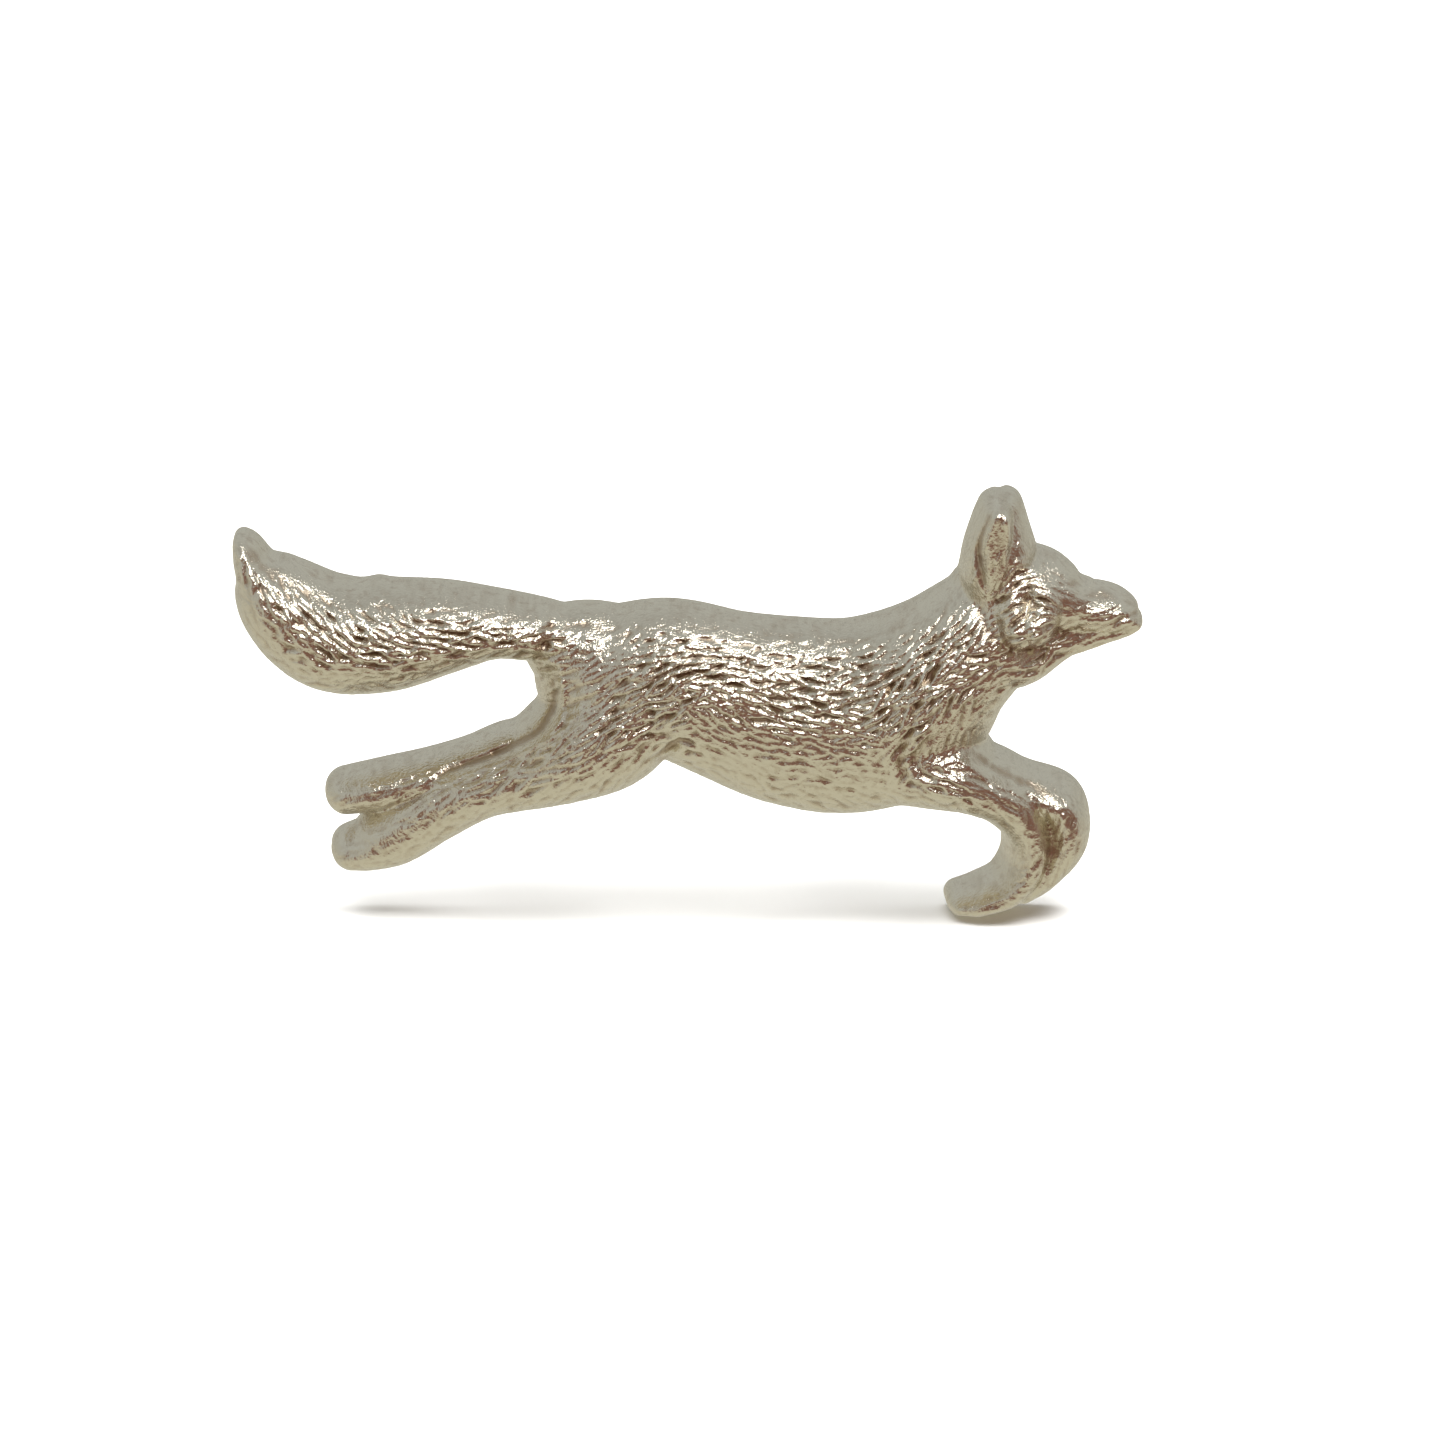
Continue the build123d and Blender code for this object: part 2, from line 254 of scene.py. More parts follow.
# the lie of the hair on that sheet. Each row: x, z, angle in degrees, how bold the tufts are
hair = [
    (-4.8, 2.8, 15, 0.3), (-5.7, 0.5, 30, 0.3), (-2.6, 3.3, 5, 0.8), (-1.5, 1.0, 38, 1.0),
    (-1.0, 2.3, 3, 1.0), (0.2, 1.4, 12, 1.0), (-0.9, 0.0, 25, 1.0), (-0.8, -0.9, 27, 1.0),
    (-2.0, -1.3, 22, 1.0), (-3.7, -2.0, 30, 0.9), (-4.8, -3.1, 35, 0.6), (-2.6, -2.8, 40, 0.6),
    (1.9, 2.7, -8, 1.0), (3.8, 2.2, -5, 1.0), (1.6, -1.6, -35, 0.6), (3.8, -1.5, -20, 0.6),
    (5.8, -1.2, -10, 0.8), (6.7, 0.5, -8, 1.0), (8.6, 2.2, 5, 1.0), (9.5, 1.1, 12, 1.0),
    (9.7, -0.1, 5, 1.0), (9.2, -2.3, -5, 0.6), (6.4, -2.8, -10, 0.4), (3.0, -3.7, -25, 0.3),
    (10.8, 3.3, 20, 1.0), (12.9, 3.8, 40, 1.0), (14.9, 3.7, 42, 1.0), (13.3, 1.4, 40, 1.0),
    (11.5, -0.4, 32, 1.0), (12.6, 0.0, 38, 1.0), (11.9, -1.0, 45, 1.0), (14.7, -1.3, 65, 0.6),
    (16.9, 1.8, 25, 0.8), (16.8, 0.5, 38, 0.7), (15.9, 5.0, 55, 0.4), (14.2, 5.0, 45, 0.4),
    (12.0, -3.4, 60, 0.5), (10.3, -3.9, -20, 0.3), (13.6, -5.1, -20, 0.6), (16.4, -4.8, -20, 0.6),
    (17.6, -5.6, -35, 0.4), (19.0, -7.9, 80, 0.3), (17.6, -10.1, 15, 0.3), (21.5, -5.1, -45, 0.3),
    (21.8, -7.3, 70, 0.3), (-7.1, -3.9, 30, 0.6), (-10.4, -5.1, 25, 0.45), (-13.8, -5.9, 28, 0.35),
    (-17.7, -8.1, 20, 0.15), (-10.4, -2.3, 25, 0.4), (-14.3, -3.7, 15, 0.4), (-18.8, -4.8, 10, 0.2),
    (-21.0, 5.5, -50, 0.9), (-18.1, 5.6, -15, 0.8), (-19.3, 4.4, -40, 1.0), (-16.3, 4.7, -35, 1.0),
    (-14.1, 4.5, -12, 1.0), (-13.6, 5.6, -15, 0.7), (-11.8, 3.9, 10, 1.0), (-14.1, 2.9, -5, 1.0),
    (-17.7, 3.5, -20, 1.0), (-19.9, 2.8, -40, 0.8), (-15.1, 1.3, 12, 0.8), (-13.6, 1.8, 18, 0.8),
    (-21.6, 2.9, -30, 0.6), (-19.3, 0.9, 10, 0.5), (-23.2, 6.1, -60, 0.9), (-23.7, 7.5, -55, 0.7),
    (-24.4, 5.6, -70, 0.2), (-23.3, 3.3, -45, 0.3), (-9.9, 3.3, 8, 1.0), (-8.7, 3.9, 10, 0.8),
    (-24.7, 8.9, -70, 0.3), (18.1, 5.6, 40, 0.9), (19.0, 6.4, 20, 0.9), (20.1, 5.6, -20, 0.9),
    (19.2, 4.2, 30, 0.9), (20.4, 3.3, 45, 0.8), (17.6, 7.2, 70, 0.5), (16.3, 5.4, 50, 0.1),
    (20.9, 5.6, -30, 0.2), (22.6, 5.6, -10, 0.3), (23.7, 5.0, 10, 0.5), (24.0, 3.3, 25, 0.4),
    (17.6, 9.5, 80, 0.2), (19.8, 7.5, -20, 0.3), (22.0, 3.3, 25, 0.4), (18.7, 1.6, 25, 0.7),
]
tufts = {
    "long": 0.5,        # mm, half a tuft's length along the hair
    "wide": 0.2,        # half its width
    "endDrop": 0.3,     # how far a tuft falls to its ends, as a share of its fall to its sides
    "lift": 0.22,       # how far its free end stands up
    "relief": 0.3,      # mm, from a tuft's top to the groove beside it
    "stray": 0.19,      # radians, how far a tuft turns from its neighbours
    "tries": 40000,
    "seed": 11,
    "from": (-26.0, -13.0),         # mm, the corners of the sheet's part that seeds are thrown on
    "to": (26.5, 13.5),
    "longSpread": (0.7, 1.35),      # each tuft's length and width as shares of the usual ones
    "wideSpread": (0.8, 1.3),
    "spacing": (1.35, 1.5),         # nearest neighbour, in half lengths along and half widths across
    "beyond": 0.6,                  # mm, the blur of the outline that seeds may fall within
    "beyondShare": 0.02,
    "reach": 1.8,                   # mm round a seed that its tuft is drawn in
    "floor": -0.4,                  # the deepest place between tufts
    "middle": 0.5,                  # taken off, so that tufts stand half above and half below the mass
    "blend": 0.15,                  # square mm, softens the weights of the rows of hair
}


def hairField():
    # angle and boldness blended from the rows, each weighted by 1 / distance^4, angles as doubled vectors
    lie = np.zeros(flatX.shape, complex)
    bold = np.zeros(flatX.shape)
    total = np.zeros(flatX.shape)
    for x, z, angle, strength in hair:
        weight = 1 / ((flatX - x) ** 2 + (flatZ - z) ** 2 + tufts["blend"]) ** 2
        lie += weight * np.exp(2j * np.radians(angle))
        bold += weight * strength
        total += weight
    return np.angle(lie) / 2, bold / total


def tuftField(angle):
    # Seeds are thrown down, and each is kept if no kept one is nearer than 1 in the stretched distance
    # (along / long)^2 + (across / wide)^2. The height is the greatest, over the seeds, of
    # 1 - across^2 / wide^2 - endDrop along^2 / long^2 - lift along / long, so tufts overlap like shingles.
    rng = np.random.default_rng(tufts["seed"])
    tries = rng.uniform(tufts["from"], tufts["to"], (tufts["tries"], 2))
    nearby = blur((mass > 0).astype(float), tufts["beyond"])
    tries = tries[readGrid(nearby, *tries.T) > tufts["beyondShare"]]
    turn = np.angle(readGrid(np.cos(2 * angle), *tries.T) + 1j * readGrid(np.sin(2 * angle), *tries.T)) / 2
    turn = turn + rng.normal(0, tufts["stray"], len(tries))
    length = tufts["long"] * rng.uniform(*tufts["longSpread"], len(tries))
    width = tufts["wide"] * rng.uniform(*tufts["wideSpread"], len(tries))
    spaceAlong, spaceAcross = tufts["spacing"]
    kept = np.zeros((0, 2))
    chosen = []
    for n, (x, z) in enumerate(tries):
        c, s = np.cos(turn[n]), np.sin(turn[n])
        along = (kept[:, 0] - x) * c + (kept[:, 1] - z) * s
        across = (kept[:, 1] - z) * c - (kept[:, 0] - x) * s
        away = (along / (spaceAlong * length[n])) ** 2 + (across / (spaceAcross * width[n])) ** 2
        if not np.any(away < 1):
            kept = np.vstack([kept, (x, z)])
            chosen.append(n)
    field = np.full(flatX.shape, -1.0)
    for n, (x, z) in zip(chosen, kept):
        at = around([(x, z)], tufts["reach"])
        c, s = np.cos(turn[n]), np.sin(turn[n])
        along = ((flatX[at] - x) * c + (flatZ[at] - z) * s) / length[n]
        across = ((flatZ[at] - z) * c - (flatX[at] - x) * s) / width[n]
        tuft = 1 - across**2 - tufts["endDrop"] * along**2 - tufts["lift"] * along
        field[at] = np.maximum(field[at], tuft)
    print("tufts:", len(kept))
    return np.clip(field, tufts["floor"], None) - tufts["middle"]


graverReach = 1.8  # mm round a stroke that it is worked out in
# grooves (below zero) and ridges drawn with a graver. Each row: x, z, half width, height, all in mm
graver = {
    "earGroove": [
        (17.05, 11.2, 0.18, 0), (16.9, 10.6, 0.2, -0.4), (16.4, 9.0, 0.22, -0.5), (16.4, 7.6, 0.22, -0.5),
        (16.6, 6.6, 0.2, -0.2), (16.9, 6.1, 0.2, 0),
    ],
    "earFace": [(17.6, 10.4, 0.4, 0), (17.4, 9.4, 0.5, -0.12), (17.5, 8.4, 0.5, -0.15), (17.6, 7.8, 0.4, 0)],
    "earRim": [
        (17.9, 11.2, 0.18, 0), (18.0, 10.2, 0.18, 0.15), (18.05, 9.0, 0.18, 0.18), (17.9, 8.2, 0.18, 0),
    ],
    "mouth": [
        (25.4, 4.9, 0.14, -0.1), (24.3, 4.5, 0.16, -0.12), (23.3, 4.1, 0.18, -0.08), (22.4, 3.8, 0.18, 0),
    ],
    "lowerJaw": [
        (25.3, 4.1, 0.2, 0.05), (24.0, 3.45, 0.2, 0.12), (22.9, 2.95, 0.2, 0.12), (21.6, 2.4, 0.2, 0),
    ],
    "muzzleSide": [(22.3, 5.0, 0.3, 0), (23.3, 4.95, 0.3, 0.1), (24.6, 4.85, 0.3, 0.07)],
    "muzzleTop": [(22.4, 6.0, 0.3, 0), (23.3, 5.85, 0.35, -0.12), (24.3, 5.6, 0.3, 0)],
    "rump": [(-7.4, 4.3, 0.4, 0), (-6.2, 4.15, 0.45, -0.15), (-4.6, 3.95, 0.45, -0.15), (-3.2, 3.9, 0.4, 0)],
    "tailTop": [
        (-24.5, 9.0, 0.3, 0), (-24.1, 8.1, 0.4, -0.15), (-22.8, 6.6, 0.45, -0.2), (-20.6, 5.6, 0.45, -0.2),
        (-18.6, 4.9, 0.4, 0),
    ],
    "eye": [(21.7, 6.5, 0.22, -0.12), (22.1, 6.5, 0.2, -0.05)],
    "cheekBack": [(16.3, 6.4, 0.3, 0), (16.4, 5.0, 0.4, -0.2), (17.0, 3.7, 0.35, -0.2), (18.2, 2.8, 0.25, 0)],
    "tailRoot": [
        (-7.5, 4.9, 0.3, 0), (-7.6, 4.2, 0.35, -0.2), (-7.9, 3.2, 0.35, -0.3), (-8.2, 2.1, 0.3, -0.2),
    ],
    "thighEdge": [
        (-7.1, 2.2, 0.2, 0), (-7.0, 1.1, 0.22, 0.2), (-6.9, 0.0, 0.22, 0.22), (-7.2, -1.3, 0.22, 0.22),
        (-7.9, -2.2, 0.22, 0.2), (-9.4, -3.0, 0.22, 0.2), (-11.1, -3.7, 0.22, 0.2), (-12.9, -4.3, 0.22, 0.15),
        (-14.3, -5.1, 0.2, 0),
    ],
    "thighCrease": [
        (-7.6, 1.5, 0.2, 0), (-7.4, 0.0, 0.22, -0.25), (-7.7, -0.9, 0.22, -0.3), (-8.3, -1.8, 0.22, -0.3),
        (-9.6, -2.5, 0.22, -0.3), (-11.3, -3.3, 0.22, -0.3), (-13.1, -3.9, 0.22, -0.25),
        (-14.7, -4.8, 0.2, 0),
    ],
    "groin": [(-1.9, -3.6, 0.3, 0), (-1.2, -3.2, 0.35, -0.35), (-0.3, -2.3, 0.3, 0)],
    "shoulderBack": [
        (13.0, -0.9, 0.25, 0), (12.4, -2.0, 0.3, -0.25), (12.0, -3.3, 0.3, -0.3), (12.3, -4.4, 0.28, -0.25),
        (13.0, -5.4, 0.25, 0),
    ],
    "shoulderFront": [
        (14.1, -1.4, 0.25, 0), (13.3, -2.5, 0.3, -0.25), (12.8, -3.6, 0.28, -0.25), (13.5, -4.1, 0.25, -0.15),
        (14.6, -4.2, 0.2, 0),
    ],
    "shoulderBlade": [(13.4, -0.9, 0.4, 0), (13.2, -2.0, 0.5, 0.2), (12.6, -3.3, 0.3, 0)],
    "armHigh": [(13.9, -4.3, 0.18, 0), (15.6, -4.7, 0.2, 0.14), (17.7, -5.4, 0.18, 0)],
    "armLow": [(12.8, -5.0, 0.18, 0), (14.5, -5.3, 0.2, 0.14), (16.7, -5.6, 0.18, 0)],
    "armTop": [(14.8, -3.4, 0.18, 0), (16.2, -3.9, 0.2, 0.14), (17.7, -4.7, 0.18, 0)],
    "farArmCrease": [
        (15.8, -2.9, 0.22, 0), (16.7, -3.4, 0.25, -0.2), (17.8, -4.1, 0.25, -0.25), (19.3, -4.8, 0.25, -0.2),
        (20.2, -5.6, 0.25, -0.12), (20.6, -6.6, 0.25, 0),
    ],
}


def graverField():
    # each stroke adds height * exp(-(distance / half width)^2) along its curve
    field = np.zeros(flatX.shape)
    for rows in graver.values():
        at = around(rows, graverReach)
        distance, values = nearestOnCurve(flatX[at], flatZ[at], splinePoints(rows))
        field[at] += values[..., 1] * np.exp(-((distance / values[..., 0]) ** 2))
    return field


# details fade out between two slopes of the mass, and between two heights above the flat back
fades = {
    "tuftSlope": (1.1, 2.6), "graverSlope": (2.0, 5.0),
    "skinHeight": (0.3, 1.5), "detailHeight": (0.1, 1.2),
    "lowest": 0.02,         # mm, the least height inside the outline
}
hairAngle, hairBold = hairField()
tuftSheet = tuftField(hairAngle) * hairBold
detail = readGrid(tuftSheet, sheetX, sheetZ) * tufts["relief"]
slopeX, slopeZ = np.gradient(height, gridStep)
steep = np.hypot(slopeX, slopeZ)
detail *= 1 - smoothStep(steep, *fades["tuftSlope"])
detail += readGrid(graverField(), sheetX, sheetZ) * (1 - smoothStep(steep, *fades["graverSlope"]))

# the skin of the casting: random numbers blurred to two sizes of lump, each scaled to its own height, in mm
castSkin = {"lump": 0.1, "lumpHeight": 0.015, "swell": 0.4, "swellHeight": 0.025, "seed": 5}
rng = np.random.default_rng(castSkin["seed"])
for size, rise in (("lump", "lumpHeight"), ("swell", "swellHeight")):
    lumps = blur(rng.normal(0, 1, flatX.shape), castSkin[size])
    detail += castSkin[rise] * lumps / lumps.std() * smoothStep(height, *fades["skinHeight"])

# how far below its surroundings a place lies: there the casting's colour is darkened, painted shade in the
# hollows, and the plate is dulled to a higher roughness
hollows = {
    "blur": 0.25,           # mm, the size of the surroundings
    # at this depth the colour is wholly painted shade and the plate wholly dull
    "full": 0.12,           # mm deep, wholly dulled
    "above": 0.5,           # mm off the back, and nothing dulled below that
}
hollowShadeAndDull = blur(detail, hollows["blur"]) - detail
detail *= smoothStep(height, *fades["detailHeight"])
height = np.where(mass > 0, np.clip(height + detail, fades["lowest"], None), 0)
mass = np.where(mass > 0, height**2, mass)
print("hair and details drawn")

# the recesses in the flat back that the findings are soldered into, in mm
seats = {"depth": 0.3, "gap": 0.3, "slope": 0.1, "corner": 1.1, "cornerPoints": 9}
# the square grid that the front is meshed on
mesher = {
    "across": 0.078,        # mm, one cell
    "spanX": (-25.9, 25.9),
    "spanZ": (-12.9, 13.3),
    "leastCut": 0.08,       # how near to a corner an edge is cut, as a share of the edge
    "same": 1e-7,           # mm, points this near are one in a flat
    "crease": 55.0,         # degrees, edges turned by more stay sharp
}


def frontSurface():
    # The front as height over a square grid. Cells wholly inside the outline are two triangles, split along
    # the diagonal that climbs less. Cells that the outline crosses are cut where height^2 passes through zero
    # along their edges, and those cuts, on the plane of the back, are the outline.
    xs = np.arange(*mesher["spanX"], mesher["across"])
    zs = np.arange(*mesher["spanZ"], mesher["across"])
    gx, gz = np.meshgrid(xs, zs, indexing="ij")
    here = readGrid(mass, gx, gz)
    inside = here > 0
    number = np.arange(here.size).reshape(here.shape)
    points = [np.stack([gx, -np.sqrt(np.clip(here, 0, None)), gz], -1).reshape(-1, 3)]
    corners = np.stack([number[:-1, :-1], number[1:, :-1], number[1:, 1:], number[:-1, 1:]], -1)
    corners = corners.reshape(-1, 4)
    full = inside.ravel()[corners].all(1)
    rise = points[0][:, 1][corners[full]]
    easy = np.abs(rise[:, 0] - rise[:, 2]) <= np.abs(rise[:, 1] - rise[:, 3])
    first = np.where(easy[:, None], [0, 1, 2], [0, 1, 3])
    second = np.where(easy[:, None], [0, 2, 3], [1, 2, 3])
    faces = [np.take_along_axis(corners[full], first, 1), np.take_along_axis(corners[full], second, 1)]
    halves = np.vstack([corners[~full][:, [0, 1, 2]], corners[~full][:, [0, 2, 3]]])
    signs = inside.ravel()[halves]
    halves, signs = halves[signs.any(1)], signs[signs.any(1)]
    faces.append(halves[signs.all(1)])
    # turn each cut triangle so that the corner that differs from the other two comes first
    halves, signs = halves[~signs.all(1)], signs[~signs.all(1)]
    single = signs.sum(1) == 1
    odd = np.where(single, signs.argmax(1), (~signs).argmax(1))
    order = (odd[:, None] + [0, 1, 2]) % 3
    halves = np.take_along_axis(halves, order, 1)
    edges = np.vstack([halves[:, [0, 1]], halves[:, [0, 2]]])
    pairs, index = np.unique(np.sort(edges, 1), axis=0, return_inverse=True)
    index = index.reshape(2, -1) + here.size
    low, high = here.ravel()[pairs].T
    share = np.clip(low / (low - high), mesher["leastCut"], 1 - mesher["leastCut"])[:, None]
    cuts = points[0][pairs[:, 0]] * (1 - share) + points[0][pairs[:, 1]] * share
    cuts[:, 1] = 0
    points = np.vstack([points[0], cuts])
    faces.append(np.stack([halves[:, 0], index[0], index[1]], 1)[single])
    both = np.stack([halves[:, 1], halves[:, 2], index[1], index[0]], 1)[~single]
    faces += [both[:, [0, 1, 2]], both[:, [0, 2, 3]]]
    faces = np.vstack(faces)
    used, index = np.unique(faces, return_inverse=True)
    return points[used], index.reshape(faces.shape)


def seatRing(node, inset, depth):
    # a rectangle with round corners about the node, as a closed ring of points at one depth
    low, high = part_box(node)
    wide = (high.x - low.x) / 2 / mm + seats["gap"] - inset - seats["corner"]
    tall = (high.z - low.z) / 2 / mm + seats["gap"] - inset - seats["corner"]
    turn = np.radians(np.arange(4)[:, None] * 90 + np.linspace(0, 90, seats["cornerPoints"])).ravel()
    side = np.repeat([(1, 1), (-1, 1), (-1, -1), (1, -1)], seats["cornerPoints"], axis=0)
    x = (low.x + high.x) / 2 / mm + side[:, 0] * wide + seats["corner"] * np.cos(turn)
    z = (low.z + high.z) / 2 / mm + side[:, 1] * tall + seats["corner"] * np.sin(turn)
    return np.stack([x, np.full(len(x), -depth), z], 1)


def edgesOnce(faces):
    # the edges that one face has, and not two
    edges = np.vstack([faces[:, [n, (n + 1) % 3]] for n in range(3)])
    pairs, counts = np.unique(np.sort(edges, 1), axis=0, return_counts=True)
    return pairs[counts != 2]


def fillFlat(points, rim):
    # Triangles over a flat of the back: Delaunay's over its rim, kept where a line from the triangle's middle
    # crosses the rim an odd number of times, and turned to face out of the back.
    corners, index = np.unique(rim, return_inverse=True)
    plane = [Vector((p[0], p[2])) for p in points[corners]]
    found = delaunay_2d_cdt(plane, index.reshape(rim.shape).tolist(), [], 0, mesher["same"], True)
    triangles = np.array([corners[origin[0]] for origin in found[3]])[np.array(found[2])]
    middle = points[triangles].mean(1)[:, None]
    a, b = points[rim[:, 0]], points[rim[:, 1]]
    spans = (a[:, 2] > middle[..., 2]) != (b[:, 2] > middle[..., 2])
    climb = np.where(b[:, 2] == a[:, 2], 1, b[:, 2] - a[:, 2])
    cross = (b[:, 0] - a[:, 0]) * (middle[..., 2] - a[:, 2]) / climb + a[:, 0]
    triangles = triangles[(spans & (middle[..., 0] < cross)).sum(1) % 2 == 1]
    one, two, three = points[triangles].transpose(1, 0, 2)
    facing = np.cross(two - one, three - one)[:, 1]
    return np.where((facing > 0)[:, None], triangles, triangles[:, ::-1])


def reliefSurface():
    # the front, then the two seats' sloping walls and floors, then the flat back round them
    points, front = frontSurface()
    faces, rims = [front], [edgesOnce(front)]
    for node in ("hinge_solder", "catch_solder"):
        rings = [seatRing(node, 0, 0), seatRing(node, seats["slope"], seats["depth"])]
        top = len(points) + np.arange(len(rings[0]))
        deep = top + len(top)
        points = np.vstack([points] + rings)
        topNext, deepNext = np.roll(top, -1), np.roll(deep, -1)
        faces += [np.stack([top, deep, topNext], 1), np.stack([topNext, deep, deepNext], 1)]
        faces.append(fillFlat(points, np.stack([deep, deepNext], 1)))
        rims.append(np.stack([top, topNext], 1))
    faces.append(fillFlat(points, np.vstack(rims)))
    return points, np.vstack(faces)


def makePiece(name, points, faces, material):
    # a smooth-shaded mesh at the origin, from points in mm
    mesh = bpy.data.meshes.new(name)
    mesh.from_pydata((points * mm).tolist(), [], faces)
    mesh.update()
    mesh.shade_smooth()
    mesh.set_sharp_from_angle(angle=np.radians(mesher["crease"]))
    mesh.materials.append(material)
    piece = bpy.data.objects.new(name, mesh)
    bpy.context.scene.collection.objects.link(piece)
    return piece


octaves = {"grain": 2.0, "patch": 4.0}  # how many finer layers each noise has
# what each finish is made of, with lengths in mm. The first of each pair is the clean metal, the second the
# dulled metal;
# on the casting the second colour is also laid into the hollows as painted shade
finishes = {
    "casting": {
        "name": "nickel plate on cast skin", "colour": ((0.74, 0.69, 0.58), (0.5, 0.41, 0.31)),
        "roughness": (0.16, 0.36), "grain": 0.15, "grainRise": 0.055, "patch": 0.5, "dulled": (0.54, 1.0),
        "stretch": (1, 1, 1), "paintsHollowShade": True,
    },
    "finding": {
        "name": "nickel plate on stamped brass", "colour": ((0.76, 0.73, 0.66), (0.6, 0.56, 0.48)),
        "roughness": (0.13, 0.3), "grain": 0.2, "grainRise": 0.006, "patch": 0.6, "dulled": (0.5, 0.8),
        "stretch": (1, 1, 0.3), "paintsHollowShade": False,
    },
    "wire": {
        "name": "drawn bright wire", "colour": ((0.72, 0.72, 0.71), (0.52, 0.51, 0.49)),
        "roughness": (0.1, 0.26), "grain": 0.08, "grainRise": 0.003, "patch": 0.5, "dulled": (0.5, 0.8),
        "stretch": (0.06, 1, 1), "paintsHollowShade": False,
    },
    "solder": {
        "name": "soft solder", "colour": ((0.55, 0.54, 0.51), (0.33, 0.31, 0.28)),
        "roughness": (0.36, 0.6), "grain": 0.25, "grainRise": 0.05, "patch": 0.35, "dulled": (0.4, 0.65),
        "stretch": (1, 1, 1), "paintsHollowShade": False,
    },
}


def metalFinish(look):
    # Metal with a fine grain in its bump, and patches (noise, plus the hollows of the relief) where the
    # colour and the roughness pass from the clean pair to the dulled pair. In the hollows the darker colour
    # is painted shade.
    material = bpy.data.materials.new(look["name"])
    material.use_nodes = True
    nodes, links = material.node_tree.nodes, material.node_tree.links
    shader = nodes["Principled BSDF"]
    shader.inputs["Metallic"].default_value = 1.0
    where = nodes.new("ShaderNodeTexCoord")
    stretch = nodes.new("ShaderNodeMapping")
    stretch.inputs["Scale"].default_value = look["stretch"]
    links.new(where.outputs["Object"], stretch.inputs["Vector"])
    noises = {}
    for part, detail in octaves.items():
        noises[part] = nodes.new("ShaderNodeTexNoise")
        noises[part].inputs["Scale"].default_value = 1 / (look[part] * mm)
        noises[part].inputs["Detail"].default_value = detail
        links.new(stretch.outputs["Vector"], noises[part].inputs["Vector"])
    bump = nodes.new("ShaderNodeBump")
    bump.inputs["Distance"].default_value = look["grainRise"] * mm
    links.new(noises["grain"].outputs["Fac"], bump.inputs["Height"])
    links.new(bump.outputs["Normal"], shader.inputs["Normal"])
    dulled = nodes.new("ShaderNodeMapRange")
    dulled.inputs["From Min"].default_value, dulled.inputs["From Max"].default_value = look["dulled"]
    links.new(noises["patch"].outputs["Fac"], dulled.inputs["Value"])
    amount = dulled.outputs["Result"]
    # the hollows add to the dulled share: the darker colour there is painted shade, the higher roughness a
    # duller plate
    if look["paintsHollowShade"]:
        hollowShadeInput = nodes.new("ShaderNodeAttribute")
        hollowShadeInput.attribute_name = "hollowShadeAndDull"
        added = nodes.new("ShaderNodeMath")
        added.operation = "ADD"
        added.use_clamp = True
        links.new(amount, added.inputs[0])
        links.new(hollowShadeInput.outputs["Fac"], added.inputs[1])
        amount = added.outputs["Value"]
    colour = nodes.new("ShaderNodeMix")
    colour.data_type = "RGBA"
    sockets = [socket for socket in colour.inputs if socket.type == "RGBA"]
    for socket, value in zip(sockets, look["colour"]):
        socket.default_value = (*value, 1)
    links.new(amount, colour.inputs["Factor"])
    links.new([socket for socket in colour.outputs if socket.type == "RGBA"][0], shader.inputs["Base Color"])
    rough = nodes.new("ShaderNodeMapRange")
    rough.inputs["To Min"].default_value, rough.inputs["To Max"].default_value = look["roughness"]
    links.new(amount, rough.inputs["Value"])
    links.new(rough.outputs["Result"], shader.inputs["Roughness"])
    return material


metals = {kind: metalFinish(look) for kind, look in finishes.items()}

points, faces = reliefSurface()
fox = makePiece("fox_relief", points, faces.tolist(), metals["casting"])
# each point's depth in a hollow, which the casting's finish reads to paint shade into its colour
shadeAndDullHere = np.clip(readGrid(hollowShadeAndDull, points[:, 0], points[:, 2]) / hollows["full"], 0, 1)
shadeAndDullHere *= points[:, 1] < -hollows["above"]
attribute = fox.data.attributes.new("hollowShadeAndDull", "FLOAT", "POINT")
attribute.data.foreach_set("value", shadeAndDullHere.astype(np.float32))
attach(fox, "brooch_body")
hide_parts("fox_casting")
print("relief:", len(faces), "triangles,", len(edgesOnce(faces)), "open edges")

nodeMetals = {
    "fox_casting": "casting", "hinge_solder": "solder", "catch_solder": "solder", "hinge_bracket": "finding",
    "hinge_rivet": "wire", "pin_stem": "wire", "catch_body": "finding", "catch_rotor": "finding",
}
for name, kind in nodeMetals.items():
    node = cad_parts[name]
    node.data.materials.clear()
    node.data.materials.append(metals[kind])
print("findings finished")


def plainSurface(name, colour, roughness=0.9):
    # one colour and one roughness all over
    material = bpy.data.materials.new(name)
    material.use_nodes = True
    shader = material.node_tree.nodes["Principled BSDF"]
    shader.inputs["Base Color"].default_value = (*colour, 1)
    shader.inputs["Roughness"].default_value = roughness
    return material


def card(name, centre, size, facing, material):
    # a flat rectangle about its centre, turned to face a direction
    mesh = bpy.data.meshes.new(name)
    w, h = size[0] / 2, size[1] / 2
    mesh.from_pydata([(-w, -h, 0), (w, -h, 0), (w, h, 0), (-w, h, 0)], [], [(0, 1, 2, 3)])
    piece = bpy.data.objects.new(name, mesh)
    piece.location = centre
    piece.rotation_euler = Vector(facing).to_track_quat("Z", "Y").to_euler()
    mesh.materials.append(material)
    bpy.context.scene.collection.objects.link(piece)
    return piece


